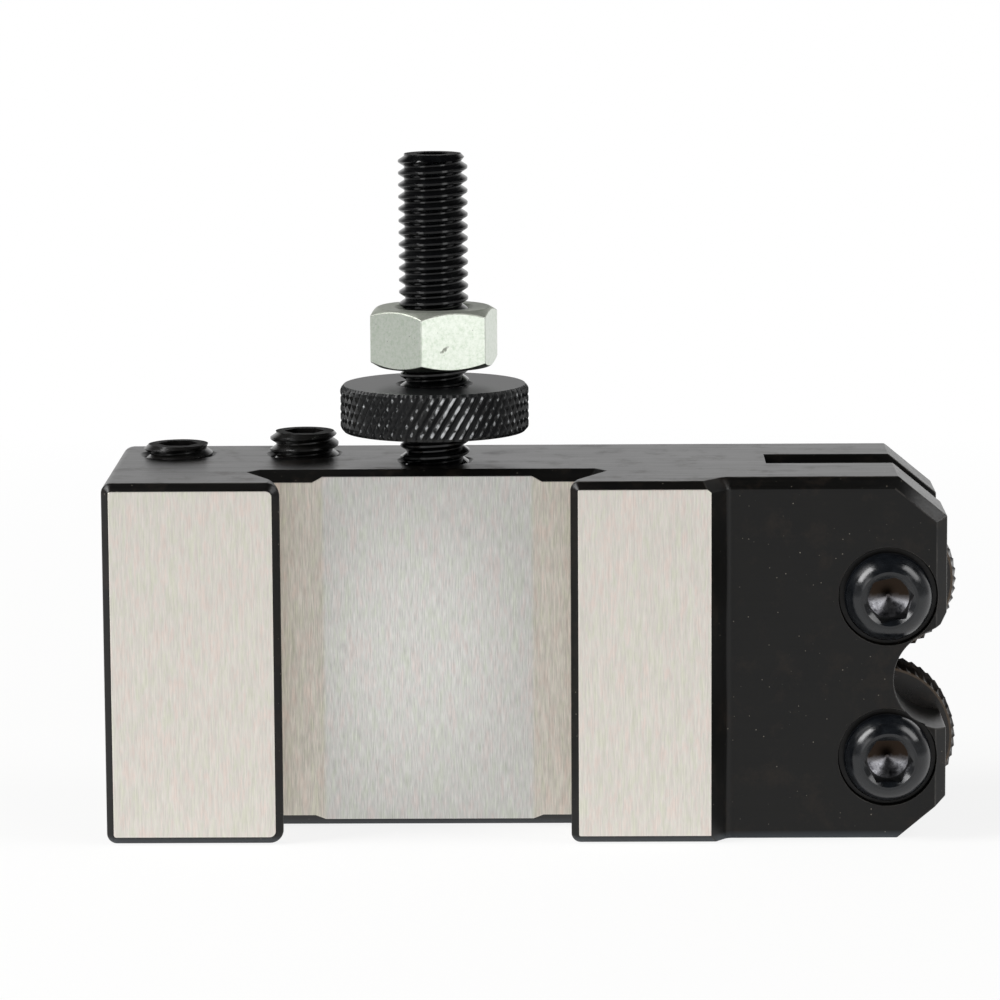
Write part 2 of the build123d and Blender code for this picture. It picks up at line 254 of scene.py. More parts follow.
def ring_shell(rings, steps):
    """A shell drawn through rings about the Z axis, each a radius and a height.

    An end closes where its ring has no radius, or where the last ring meets the first.
    """
    bm = bmesh.new()
    bmesh.ops.create_circle(bm, cap_ends=False, segments=steps, radius=1.0)
    place_ring(bm.verts, *rings[0])
    edges = bm.edges[:]
    for radius, height in rings[1:]:
        edges = next_ring(bm, edges, radius, height)
    bmesh.ops.remove_doubles(bm, verts=bm.verts, dist=MERGE)
    return bm


def boundary_loop(bm, height):
    """The open edges at a height."""
    return [e for e in bm.edges if e.is_boundary and all(abs(v.co.z - height) < MERGE for v in e.verts)]


def cut_level(bm, height, **cleared):
    """Cuts a mesh at a height, and clears the side that is named."""
    bmesh.ops.bisect_plane(
        bm, geom=bm.verts[:] + bm.edges[:] + bm.faces[:], dist=MERGE / 10, plane_co=(0, 0, height),
        plane_no=(0, 0, 1), **cleared)


def threaded_rod(settings, radius, low, high, top_edge, phase):
    """A rod's threaded length, open at both ends, with its crests turned down at the top edge."""
    pitch = settings.pitch
    depth = settings.depth
    bm = bmesh.new()
    # One thread from root to root: how far along the pitch, and how deep below the crest
    shoulder = 0.10 * depth
    section = [
        (0.0, depth), (0.06, depth), (0.36, shoulder), (0.42, 0.0), (0.58, 0.0), (0.64, shoulder),
        (0.94, depth), (1.0, depth)]
    # The first turn starts below the rod, where its crest has the phase
    base = low - 1.5 * pitch
    base += (phase - base) % pitch
    verts = [bm.verts.new((radius - down, 0.0, base + (along - 0.5) * pitch)) for along, down in section]
    edges = [bm.edges.new(pair) for pair in zip(verts, verts[1:])]
    bmesh.ops.spin(
        bm, geom=verts + edges, cent=(0, 0, 0), axis=(0, 0, 1), dvec=(0, 0, pitch / settings.steps),
        angle=FULL_TURN, steps=settings.steps, use_merge=False, use_duplicate=False)
    one_turn = bm.verts[:] + bm.edges[:] + bm.faces[:]
    for turn in range(1, math.ceil((high - base) / pitch) + 2):
        copy = bmesh.ops.duplicate(bm, geom=one_turn)["geom"]
        copied = [g for g in copy if isinstance(g, bmesh.types.BMVert)]
        bmesh.ops.translate(bm, verts=copied, vec=(0, 0, turn * pitch))
    bmesh.ops.remove_doubles(bm, verts=bm.verts, dist=5 * MERGE)
    cut_level(bm, low, clear_inner=True)
    cut_level(bm, high, clear_outer=True)
    cut_level(bm, high - top_edge)
    for v in bm.verts:
        at = math.hypot(v.co.x, v.co.y)
        limit = radius + min(0.0, high - top_edge - v.co.z)
        if at > limit:
            v.co.x *= limit / at
            v.co.y *= limit / at
    bmesh.ops.dissolve_degenerate(bm, dist=MERGE / 2, edges=bm.edges)
    return bm


def close_with(bm, height, rings, steps):
    """Closes an open end with a face that carries rings of its own, such as a socket."""
    cap = ring_shell(rings, steps)
    mesh = bpy.data.meshes.new("cap")
    cap.to_mesh(mesh)
    cap.free()
    outer = boundary_loop(bm, height)
    before = set(bm.edges)
    bm.from_mesh(mesh)
    bpy.data.meshes.remove(mesh)
    inner = [e for e in bm.edges if e not in before and e.is_boundary]
    bmesh.ops.triangle_fill(bm, use_beauty=True, use_dissolve=False, edges=outer + inner)


def clean_shell(bm):
    """Merges meeting points and turns the faces outwards."""
    bmesh.ops.remove_doubles(bm, verts=bm.verts, dist=MERGE / 4)
    bmesh.ops.recalc_face_normals(bm, faces=bm.faces)


def screw_shell(settings, node, start, top_edge, phase, socket, socket_depth, drill):
    """A screw where its solid stands: its thread, a turned lower end, and a drilled hexagon socket.

    Its flat upper end gets the second material, which is duller than the thread.
    """
    low, high, middle, radius = span(node)
    bottom, top = low[2], high[2]
    deep = top - socket_depth
    bm = threaded_rod(settings, radius, start, top, top_edge, phase)

    def flats(angle):
        return hexagon_radius(angle, socket)

    close_with(bm, top, [
        (flats, top), (flats, deep), (0.45 * socket, deep), (0.0, deep - drill)], settings.steps)
    neck = radius - settings.depth - 0.1 * MM
    chamfer = 0.8 * MM
    close_with(bm, start, [
        (neck, start), (neck, bottom + chamfer), (neck - chamfer, bottom), (0.0, bottom)], settings.steps)
    bmesh.ops.translate(bm, verts=bm.verts, vec=(middle[0], middle[1], 0))
    clean_shell(bm)
    for face in bm.faces:
        is_end = face.normal.z > 0.9 and face.calc_center_median().z > top - 0.01 * MM
        face.material_index = 1 if is_end else 0
    return bm


def turn_shell(bm, angle, axis):
    """Turns a shell about an axis through the origin."""
    bmesh.ops.rotate(bm, verts=bm.verts, cent=(0, 0, 0), matrix=Matrix.Rotation(angle, 3, axis))


def lay_on_axle(bm, middle):
    """Turns a shell from the Z axis on to an axle along Y, with Z towards the front."""
    turn_shell(bm, math.radians(90), "X")
    bmesh.ops.translate(bm, verts=bm.verts, vec=(middle[0], 0, middle[2]))
    clean_shell(bm)


def merge_flats(bm, angle):
    """Joins faces that lie in one plane, to within an angle in degrees."""
    bmesh.ops.dissolve_limit(
        bm, angle_limit=math.radians(angle), use_dissolve_boundaries=False, verts=bm.verts, edges=bm.edges)


def round_edges(bm, width, sharper_than):
    """Breaks every edge that is sharper than an angle, and returns the new faces."""
    sharp = [e for e in bm.edges if e.is_manifold and e.calc_face_angle() > sharper_than]
    made = bmesh.ops.bevel(
        bm, geom=sharp, offset=width, offset_type="OFFSET", segments=2, profile=0.5, affect="EDGES",
        clamp_overlap=False, material=-1)
    return made["faces"]


def new_object(name, data):
    """An object with this data, in the scene."""
    thing = bpy.data.objects.new(name, data)
    bpy.context.scene.collection.objects.link(thing)
    return thing


def add_piece(bm, name, body, materials, replaced, sharp_angle=math.radians(38)):
    """The finished piece: smooth faces with crisp corners, on its body, in place of its solid."""
    mesh = bpy.data.meshes.new(name)
    bm.to_mesh(mesh)
    bm.free()
    for material in materials:
        mesh.materials.append(material)
    mesh.shade_smooth()
    mesh.set_sharp_from_angle(angle=sharp_angle)
    piece = new_object(name, mesh)
    weighted = piece.modifiers.new("Flat faces stay flat", "WEIGHTED_NORMAL")
    weighted.keep_sharp = True
    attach(piece, body)
    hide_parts(replaced)


# Materials

def linear(hex_colour):
    """The linear colour that shaders take, from an sRGB hex value."""
    parts = [int(hex_colour[i:i + 2], 16) / 255 for i in (1, 3, 5)]
    return [p / 12.92 if p <= 0.04045 else ((p + 0.055) / 1.055) ** 2.4 for p in parts] + [1.0]


def per_metre(size):
    """The scale at which a pattern's features are that size, in metres."""
    return 1 / size


def add_node(tree, kind, inputs=None, **settings):
    """A shader node with its inputs set to a value or linked, and its settings by name.

    An input is linked to an output, or to the first output that a node has in use.
    """
    node = tree.nodes.new("ShaderNode" + kind)
    for name, value in settings.items():
        setattr(node, name, value)
    for socket, value in (inputs or {}).items():
        if isinstance(value, bpy.types.Node):
            value = next(output for output in value.outputs if output.enabled)
        if isinstance(value, bpy.types.NodeSocket):
            tree.links.new(value, node.inputs[socket])
        else:
            node.inputs[socket].default_value = value
    return node


def new_material(name):
    """A material, its emptied tree, and where each point lies in the object's own metres."""
    material = bpy.data.materials.new(name)
    material.use_nodes = True
    tree = material.node_tree
    tree.nodes.clear()
    return material, tree, add_node(tree, "TexCoord").outputs["Object"]


def close_material(material, shader_inputs):
    """The material, once its surface shader has these inputs."""
    tree = material.node_tree
    shader = add_node(tree, "BsdfPrincipled", shader_inputs)
    add_node(tree, "OutputMaterial", {"Surface": shader})
    return material


def cloudy_tone(tree, place, size, detail, roughness, stops):
    """Clouds of a size in metres, and their tone between stops, each a value and an sRGB hex value."""
    clouds = add_node(tree, "TexNoise", {
        "Vector": place, "Scale": per_metre(size), "Detail": detail, "Roughness": roughness})
    tone = add_node(tree, "ValToRGB", {"Fac": clouds})
    elements = tone.color_ramp.elements
    while len(elements) < len(stops):
        elements.new(0.5)
    for element, (value, colour) in zip(elements, stops):
        element.position = value
        element.color = linear(colour)
    return clouds, tone


def rare_specks(tree, place, size, core, rim, rarest, strength):
    """Specks on some cells of a size in metres, each full to its core and gone at its rim."""
    cells = add_node(tree, "TexVoronoi", {"Vector": place, "Scale": per_metre(size)})
    near = add_node(tree, "MapRange", {
        "Value": cells, "From Min": core, "From Max": rim, "To Min": 1.0, "To Max": 0.0})
    pick = add_node(tree, "SeparateColor", {"Color": cells.outputs["Color"]})
    some = add_node(tree, "MapRange", {
        "Value": pick.outputs["Red"], "From Min": rarest, "To Max": strength})
    return add_node(tree, "Math", {0: near, 1: some}, operation="MULTIPLY")


def make_oxide_material(settings):
    """Black oxided mild steel, hot dipped and oiled after milling.

    The eye gets a warm near black with a satin shine, brown scuffs, faint cutter marks and specks of lint.
    """
    material, tree, place = new_material("black_oxide_mild_steel")
    parts = add_node(tree, "SeparateXYZ", {"Vector": place})
    _, tone = cloudy_tone(tree, place, 9 * MM, 4.0, 0.6, [(0.3, "#050505"), (0.7, settings.oxide_colour)])
    handled_and_highlit = add_node(tree, "TexNoise", {
        "Vector": place, "Scale": per_metre(5 * MM), "Detail": 6.0, "Roughness": 0.72})
    scuffed = add_node(tree, "MapRange", {
        "Value": handled_and_highlit, "From Min": 0.52, "From Max": 0.74, "To Max": 0.7})
    colour = add_node(tree, "Mix", {0: scuffed, 6: tone, 7: linear("#241d17")}, **COLOURS)
    # Real lint is finer, and is drawn as coarse as it needs to show
    lint = rare_specks(tree, place, 1.0 * MM, core=0.04, rim=0.10, rarest=0.45, strength=1.0)
    colour = add_node(tree, "Mix", {0: lint, 6: colour, 7: linear("#8a847a")}, **COLOURS)
    # Painted reflection: the base's rims are painted a blue grey, standing in for the sheen of the bright
    # floor just below
    painted_floor_sheen = add_node(tree, "MapRange", {
        "Value": parts.outputs["Z"], "From Min": 0.2 * MM, "From Max": 1.1 * MM, "To Min": 1.0,
        "To Max": 0.0})
    colour = add_node(tree, "Mix", {0: painted_floor_sheen, 6: colour, 7: linear("#3e4348")}, **COLOURS)
    # Cutter marks run along the block
    milled = add_node(tree, "Mapping", {
        "Vector": place, "Scale": (per_metre(14 * MM), per_metre(0.3 * MM), per_metre(0.3 * MM))})
    marks = add_node(tree, "TexNoise", {"Vector": milled, "Scale": 1.0, "Detail": 3.0})
    rough = add_node(tree, "MapRange", {
        "Value": marks, "From Min": 0.3, "From Max": 0.7, "To Min": 0.275, "To Max": 0.355})
    # The tool's end is a touch duller than the head, and scuffs are duller than both
    dull = add_node(tree, "MapRange", {
        "Value": parts.outputs["X"], "From Min": -12 * MM, "From Max": 18 * MM, "To Min": 0.01,
        "To Max": 0.0})
    rough = add_node(tree, "Math", {0: rough, 1: dull}, operation="ADD")
    rough = add_node(tree, "Math", {0: scuffed, 1: 0.14, 2: rough}, operation="MULTIPLY_ADD")
    bump = add_node(tree, "Bump", {"Height": marks, "Strength": 0.2, "Distance": 0.006 * MM})
    return close_material(material, {
        "Base Color": colour, "Roughness": rough, "Normal": bump, "Specular IOR Level": 0.28})


def make_rubbed_edge_material():
    """The block's broken edges, where handling has rubbed the oxide thin.

    The eye gets a thin grey line, stronger and weaker along each edge.
    """
    material, tree, place = new_material("rubbed_edge_steel")
    _, tone = cloudy_tone(tree, place, 4 * MM, 4.0, 0.6, [(0.35, "#0d0c0b"), (0.65, "#3c3a37")])
    return close_material(material, {"Base Color": tone, "Roughness": 0.32, "Specular IOR Level": 0.4})


def make_ground_material(settings):
    """Surface ground tool steel, wheel run up and down the holder.

    The eye gets a bright warm grey with fine upright lines of uneven tint and a soft sheen. Real lines are
    finer than the render can show, and these are drawn as coarse as they need to show.
    """
    material, tree, place = new_material("ground_tool_steel")
    parts = add_node(tree, "SeparateXYZ", {"Vector": place})
    line = per_metre(settings.grind_line)
    stretched = add_node(tree, "Mapping", {"Vector": place, "Scale": (line, line, per_metre(2.4 * MM))})
    lines = add_node(tree, "TexNoise", {
        "Vector": stretched, "Scale": 1.0, "Detail": 3.0, "Roughness": 0.6})
    in_recess = add_node(tree, "MapRange", {
        "Value": parts.outputs["Y"], "From Min": -20 * MM, "From Max": -12 * MM})
    base = add_node(tree, "Mix", {
        0: in_recess, 6: linear(settings.ground_colour), 7: linear(settings.recess_colour)}, **COLOURS)
    # Painted shade: the recess's outer strips, where the dovetail's walls shade them, are painted darker
    # and warmer than its channel
    from_middle = add_node(tree, "Math", {0: parts.outputs["X"], 1: -RECESS_MIDDLE}, operation="ADD")
    aside = add_node(tree, "Math", {0: from_middle}, operation="ABSOLUTE")
    on_shaded_strip = add_node(tree, "MapRange", {"Value": aside, "From Min": 14.4 * MM, "From Max": 15.0 * MM})
    shaded_strip = add_node(tree, "Math", {0: on_shaded_strip, 1: in_recess}, operation="MULTIPLY")
    base = add_node(tree, "Mix", {0: shaded_strip, 6: base, 7: linear(settings.shaded_strip_colour)}, **COLOURS)
    # The cast of the steel changes from green to red in longer, wider lines
    cast = add_node(tree, "Mapping", {
        "Vector": place, "Location": (0.3, 0.1, 0.2),
        "Scale": (per_metre(0.9 * MM), per_metre(0.9 * MM), per_metre(3.2 * MM))})
    _, tint = cloudy_tone(tree, cast, 1.0, 3.0, 0.6, [
        (0.32, "#f6faf2"), (0.5, "#fafafa"), (0.68, "#fef6f5")])
    tinted = add_node(tree, "Mix", {0: 1.0, 6: base, 7: tint}, **TINT)
    darkest = add_node(tree, "MapRange", {"Value": in_recess, "To Min": 0.90, "To Max": 0.76})
    shade = add_node(tree, "MapRange", {
        "Value": lines, "From Min": 0.3, "From Max": 0.7, "To Min": darkest, "To Max": 1.08})
    # Painted light and shade: the channel is painted brightest a little left of its middle and darker
    # towards its rims
    from_painted_glow = add_node(tree, "Mapping", {
        "Vector": place, "Location": (-3 * MM, 0, 25.5 * MM),
        "Scale": (20 * MM, 1, 27 * MM)}, vector_type="TEXTURE")
    off_painted_glow = add_node(tree, "VectorMath", {0: from_painted_glow}, operation="LENGTH")
    painted_glow = add_node(tree, "MapRange", {
        "Value": off_painted_glow, "From Min": 0.15, "To Min": 1.09, "To Max": 0.89}, **SMOOTH)
    in_channel = add_node(tree, "Math", {0: in_recess, 1: shaded_strip}, operation="SUBTRACT")
    level = add_node(tree, "Mix", {0: in_channel, 2: 1.0, 3: painted_glow}, data_type="FLOAT")
    shade = add_node(tree, "Math", {0: shade, 1: level}, operation="MULTIPLY")
    colour = add_node(tree, "VectorMath", {0: tinted, "Scale": shade}, operation="SCALE")
    rough = add_node(tree, "MapRange", {
        "Value": lines, "From Min": 0.3, "From Max": 0.7, "To Min": 0.44, "To Max": 0.34})
    bump = add_node(tree, "Bump", {"Height": lines, "Strength": 0.25, "Distance": 0.02 * MM})
    return close_material(material, {
        "Base Color": colour, "Metallic": 1.0, "Roughness": rough, "Normal": bump})


def make_dark_screw_material(name, colours, roughness, specular=0.5):
    """Alloy steel, black oxided and oiled, for the stud, the screws and the pins.

    The eye gets a blue black with a wet satin shine and slightly uneven oil.
    """
    material, tree, place = new_material(name)
    oil, tone = cloudy_tone(tree, place, 1.4 * MM, 4.0, 0.6, [(0.3, colours[0]), (0.7, colours[1])])
    rough = add_node(tree, "MapRange", {
        "Value": oil, "From Min": 0.3, "From Max": 0.7, "To Min": roughness - 0.06,
        "To Max": roughness + 0.06})
    bump = add_node(tree, "Bump", {"Height": oil, "Strength": 0.15, "Distance": 0.02 * MM})
    return close_material(material, {
        "Base Color": tone, "Roughness": rough, "Normal": bump, "Specular IOR Level": specular})


def make_zinc_material(name, colour, roughness, dent):
    """Bright zinc plate on a forged nut.

    The eye gets a silver grey with a faint green cast, a few dark pits, one small dent, and speckle drawn
    as coarse as it needs to show.
    """
    material, tree, place = new_material(name)
    speckle, tone = cloudy_tone(tree, place, 0.5 * MM, 5.0, 0.75, [
        (0.32, "#dce6da"), (0.5, "#f4f6f3"), (0.68, "#ffffff")])
    plate = add_node(tree, "Mix", {0: 1.0, 6: tone, 7: linear(colour)}, **TINT)
    pitted = rare_specks(tree, place, 0.8 * MM, core=0.05, rim=0.12, rarest=0.6, strength=0.9)
    # The dent is a short slanting nick with torn edges, on the front facet
    torn = add_node(tree, "TexNoise", {"Vector": place, "Scale": per_metre(0.35 * MM), "Detail": 3.0})
    frayed = add_node(tree, "VectorMath", {
        0: torn.outputs["Color"], 1: (0.7 * MM, 0.0, 0.7 * MM), 2: place}, operation="MULTIPLY_ADD")
    slanted = add_node(tree, "Mapping", {
        "Vector": frayed, "Location": dent, "Rotation": (0, math.radians(-40), 0),
        "Scale": (0.80 * MM, 4 * MM, 0.22 * MM)}, vector_type="TEXTURE")
    from_dent = add_node(tree, "VectorMath", {0: slanted}, operation="LENGTH")
    dented = add_node(tree, "MapRange", {
        "Value": from_dent, "From Min": 0.6, "From Max": 1.1, "To Min": 0.7, "To Max": 0.0})
    marked = add_node(tree, "Math", {0: pitted, 1: dented}, operation="MAXIMUM")
    colour = add_node(tree, "Mix", {0: marked, 6: plate, 7: linear("#3d3a2f")}, **COLOURS)
    rough = add_node(tree, "MapRange", {
        "Value": speckle, "From Min": 0.3, "From Max": 0.7, "To Min": roughness + 0.03,
        "To Max": roughness - 0.03})
    bump = add_node(tree, "Bump", {"Height": speckle, "Strength": 0.05, "Distance": 0.01 * MM})
    return close_material(material, {
        "Base Color": colour, "Metallic": 1.0, "Roughness": rough, "Normal": bump})


def make_knurl_material(settings, radius):
    """Turned steel, oxided dark, with the knurl's crests painted bright up to the nut's radius, partly as
    rubbed wear and partly as a painted highlight.

    The eye gets a cool black with bright dashes along the crests, most of them on the side that faces the
    lamps, where the highlight is painted.
    """
    material, tree, place = new_material("rubbed_and_highlit_knurl_steel")
    flat = add_node(tree, "VectorMath", {0: place, 1: (1, 1, 0)}, operation="MULTIPLY")
    out = add_node(tree, "VectorMath", {0: flat}, operation="LENGTH")
    crest = add_node(tree, "MapRange", {
        "Value": out, "From Min": radius - 0.07 * MM, "From Max": radius - 0.01 * MM})
    patches = add_node(tree, "TexNoise", {
        "Vector": place, "Scale": per_metre(1.6 * MM), "Detail": 5.0, "Roughness": 0.7})
    # Painted highlight: crests on the side that faces the lamps, at the faint_at angle, are painted bright
    # more often
    side = (math.cos(settings.faint_at), math.sin(settings.faint_at), 0)
    towards = add_node(tree, "VectorMath", {0: place, 1: side}, operation="DOT_PRODUCT")
    handled_and_highlit = add_node(tree, "MapRange", {
        "Value": towards, "From Min": 0.93 * radius, "From Max": radius, "To Max": 0.13})
    wear_and_highlight = add_node(tree, "Math", {0: patches, 1: handled_and_highlit}, operation="ADD")
    worn_and_highlit = add_node(tree, "MapRange", {"Value": wear_and_highlight, "From Min": 0.51, "From Max": 0.64, "To Max": 0.95})
    bright = add_node(tree, "Math", {0: crest, 1: worn_and_highlit}, operation="MULTIPLY")
    colour = add_node(tree, "Mix", {0: bright, 6: linear("#0f1011"), 7: linear("#c4c6c8")}, **COLOURS)
    return close_material(material, {"Base Color": colour, "Roughness": 0.38, "Specular IOR Level": 0.28})


def make_socket_material(name, middle):
    """Drilled end of a pin's socket, where the oxide is thin over bare steel.

    The eye gets a grey cone with bright and dark sectors, painted a dark brown in its upper half as shade
    under the socket's upper wall.
    """
    material, tree, place = new_material(name)
    patches, tone = cloudy_tone(tree, place, 1.5 * MM, 5.0, 0.7, [(0.35, "#2c2c2f"), (0.64, "#8e8e92")])
    parts = add_node(tree, "SeparateXYZ", {"Vector": place})
    # Painted shade: the upper half of the socket's floor is painted a dark brown, with a ragged edge
    ragged = add_node(tree, "Math", {
        0: patches, 1: 2.4 * MM, 2: parts.outputs["Z"]}, operation="MULTIPLY_ADD")
    shaded_upper_half = add_node(tree, "MapRange", {
        "Value": ragged, "From Min": middle[2] + 0.5 * MM, "From Max": middle[2] + 1.6 * MM})
    colour = add_node(tree, "Mix", {0: shaded_upper_half, 6: tone, 7: linear("#2b231d")}, **COLOURS)
    return close_material(material, {"Base Color": colour, "Metallic": 1.0, "Roughness": 0.22})


def make_wheel_material(name, middle, radius):
    """Hardened wheel steel, stained brown by oil round its sides.

    The eye gets a blotchy brown black with a light brown line painted inside the teeth as a highlight.
    """
    material, tree, place = new_material(name)
    blotches, tone = cloudy_tone(tree, place, 2.2 * MM, 6.0, 0.7, [
        (0.35, "#0c0a09"), (0.55, "#1a1511"), (0.72, "#3c3127")])
    moved = add_node(tree, "VectorMath", {0: place, 1: (middle[0], 0, middle[2])}, operation="SUBTRACT")
    flat = add_node(tree, "VectorMath", {0: moved, 1: (1, 0, 1)}, operation="MULTIPLY")
    out = add_node(tree, "VectorMath", {0: flat}, operation="LENGTH")
    # Painted highlight: a light brown line just inside the teeth
    off_line = add_node(tree, "Math", {0: out, 1: radius - 0.62 * MM}, operation="SUBTRACT")
    off_line = add_node(tree, "Math", {0: off_line}, operation="ABSOLUTE")
    line = add_node(tree, "MapRange", {
        "Value": off_line, "From Min": 0.10 * MM, "From Max": 0.22 * MM, "To Min": 0.6, "To Max": 0.0})
    colour = add_node(tree, "Mix", {0: line, 6: tone, 7: linear("#6e5b47")}, **COLOURS)
    rough = add_node(tree, "MapRange", {
        "Value": blotches, "From Min": 0.3, "From Max": 0.7, "To Min": 0.22, "To Max": 0.42})
    return close_material(material, {"Base Color": colour, "Roughness": rough, "Specular IOR Level": 0.5})


# Operators, one for each piece or group of like pieces

class BuildBlock(bpy.types.Operator):
    """The steel block, with its ground pads and recess bright and every edge slightly broken"""
    bl_idname = "tool_holder.build_block"
    bl_label = "Block"

    # The ground faces lie past the pads' plane, or within the recess with its back past the flanks
    pad_plane = -21.99 * MM
    recess_left, recess_right = -25.5 * MM, 23.7 * MM
    recess_bottom, recess_top = 1.2 * MM, 49.6 * MM
    recess_back, flank_back = -9.0 * MM, -11.0 * MM
    # The rims of the screws' holes lie this near to their axes, above this height
    hole_reach = 6.5 * MM
    hole_height = 45 * MM

    def execute(self, context):
        settings = context.scene.holder_block
        bm = bmesh.new()
        bm.from_mesh(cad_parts["holder_body"].data)
        bmesh.ops.remove_doubles(bm, verts=bm.verts, dist=0.1 * MERGE)
        merge_flats(bm, angle=0.5)
        for face in bm.faces:
            face.material_index = 1 if self.is_ground(face) else 0
        broken = round_edges(bm, settings.edge_round, math.radians(30))
        bm.normal_update()
        screws = ("height_stud", "left_clamp_screw", "right_clamp_screw")
        holes = [Vector(span(node)[2]).xy for node in screws]
        for face in [face for face in broken if self.is_rubbed(face, holes)]:
            face.material_index = 2
        add_piece(
            bm, "block", "holder",
            [make_oxide_material(settings), make_ground_material(settings), make_rubbed_edge_material()],
            "holder_body")
        return {"FINISHED"}

    def is_ground(self, face):
        """True for the faces that the grinding wheel reached: both pads and the dovetail's walls."""
        middle = face.calc_center_median()
        on_pads = face.normal.y < -0.99 and middle.y < self.pad_plane
        in_recess = (
            self.recess_left < middle.x < self.recess_right
            and self.recess_bottom < middle.z < self.recess_top and middle.y < self.recess_back)
        upright = abs(face.normal.z) < 0.01
        leaning = abs(face.normal.x) > 0.85 and face.normal.y > 0
        back = face.normal.y < -0.85 and middle.y > self.flank_back
        return on_pads or (in_recess and upright and (leaning or back))

    def is_rubbed(self, face, holes):
        """True for a broken edge that stands out, away from the ground faces and the screws' holes."""
        middle = face.calc_center_median()
        at_hole = middle.z > self.hole_height and any(
            (middle.xy - hole).length < self.hole_reach for hole in holes)
        slight = math.radians(3)
        stands_out = all(edge.is_convex or edge.calc_face_angle(0.0) < slight for edge in face.edges)
        beside_ground = any(other.material_index == 1 for edge in face.edges for other in edge.link_faces)
        return stands_out and not beside_ground and not at_hole


class BuildStud(bpy.types.Operator):
    """The height stud, a long screw thread with a socket in its top"""
    bl_idname = "tool_holder.build_stud"
    bl_label = "Height stud"

    def execute(self, context):
        settings = context.scene.holder_thread
        bm = screw_shell(
            settings, "height_stud", settings.stud_start, top_edge=0.9 * MM, phase=0.1 * MM,
            socket=settings.stud_socket, socket_depth=4.0 * MM, drill=1.0 * MM)
        thread = make_dark_screw_material(
            "black_oxide_stud_steel", ("#030304", "#08090a"), 0.15, specular=0.42)
        dull = make_dark_screw_material(
            "dull_oxide_stud_end", ("#0b0b0b", "#161514"), 0.7, specular=0.15)
        add_piece(bm, "height_stud_thread", "holder", [thread, dull], "height_stud")
        return {"FINISHED"}


class BuildThumbNut(bpy.types.Operator):
    """The thumb nut, with a diamond knurl round its rim"""
    bl_idname = "tool_holder.build_thumb_nut"
    bl_label = "Thumb nut"

    def execute(self, context):
        settings = context.scene.holder_thumb_nut
        low, high, _, radius = span("knurled_nut")
        bottom, top = low[2], high[2]
        edge = 0.4 * MM
        width = FULL_TURN * radius / settings.teeth
        row = width / settings.steps / math.tan(settings.line_angle)
        middle = (bottom + top) / 2
        rows = math.floor((top - bottom - 2 * edge) / 2 / row)
        heights = [bottom + edge] + [middle + step * row for step in range(-rows, rows + 1)] + [top - edge]

        def knurled(level):
            climb = (level - middle) / row / settings.steps
            return lambda angle: self.wall_radius(settings, radius, angle, climb)

        bm = ring_shell([(knurled(level), level) for level in heights], settings.teeth * settings.steps)
        edges = boundary_loop(bm, top - edge)
        foot = boundary_loop(bm, bottom + edge)
        rim = radius - settings.depth - 0.05 * MM
        for r, z in [
                (rim, top), (settings.mouth, top), (NUT_BORE, top - 0.6 * MM),
                (NUT_BORE, bottom + 0.5 * MM), (settings.mouth - 0.2 * MM, bottom), (rim, bottom)]:
            edges = next_ring(bm, edges, r, z)
        bmesh.ops.bridge_loops(bm, edges=edges + foot)
        clean_shell(bm)
        add_piece(
            bm, "thumb_nut_knurled", "thumb_nut", [make_knurl_material(settings, radius)],
            "knurled_nut", sharp_angle=math.radians(20))
        return {"FINISHED"}

    def wall_radius(self, settings, radius, angle, climb):
        """Radius of the knurled wall where two families of grooves cross.

        The climb is the height above the middle, in diamonds.
        """
        # A groove's flank rises this many times its depth in the width of a diamond
        flank = 2.6
        around = angle / FULL_TURN * settings.teeth
        grit = noise.noise((around * 1.7, climb * 2.9, 0.0)) * 0.05 * MM
        shallow = settings.shallow_depth * min(1.0, 2 * abs(math.sin(angle / 2 - settings.faint_at / 2)))
        cut = 0.0
        for place, depth in ((around - climb, settings.depth), (around + climb, shallow)):
            off_line = abs(place % 1.0 - 0.5)
            cut = max(cut, depth * (1 - min(1.0, flank * (0.5 - off_line))))
        return radius - min(settings.depth, max(0.0, cut + grit))


class BuildLockNut(bpy.types.Operator):
    """The zinc plated hexagon nut that locks the thumb nut"""
    bl_idname = "tool_holder.build_lock_nut"
    bl_label = "Lock nut"

    def execute(self, context):
        settings = context.scene.holder_lock_nut
        low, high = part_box("hex_lock_nut")
        bottom, top = low[2], high[2]
        size = settings.across_flats
        flat = size / 2 - 0.35 * MM
        sink = 0.6 * MM
        slope = math.tan(math.radians(30))

        def side(angle):
            return hexagon_radius(angle, size)

        def upper(angle):
            return top - (side(angle) - flat) * slope

        def lower(angle):
            return bottom + (side(angle) - flat) * slope

        bm = ring_shell([
            (NUT_BORE, top - sink), (NUT_BORE + sink, top), (flat, top), (side, upper), (side, lower),
            (flat, bottom), (NUT_BORE + sink, bottom), (NUT_BORE, bottom + sink),
            (NUT_BORE, top - sink)], steps=144)
        clean_shell(bm)
        merge_flats(bm, angle=0.3)
        round_edges(bm, 0.12 * MM, math.radians(20))
        turn_shell(bm, settings.turn + math.radians(30), "Z")
        clean_shell(bm)
        for face in bm.faces:
            face.material_index = 1 if face.normal.z > 0.25 else 0
        add_piece(
            bm, "lock_nut_hexagon", "lock_nut", [
                make_zinc_material("bright_zinc_plate", settings.zinc_colour, 0.31, settings.dent),
                make_zinc_material("dull_zinc_plate", settings.dull_colour, 0.55, settings.dent)],
            "hex_lock_nut")
        return {"FINISHED"}


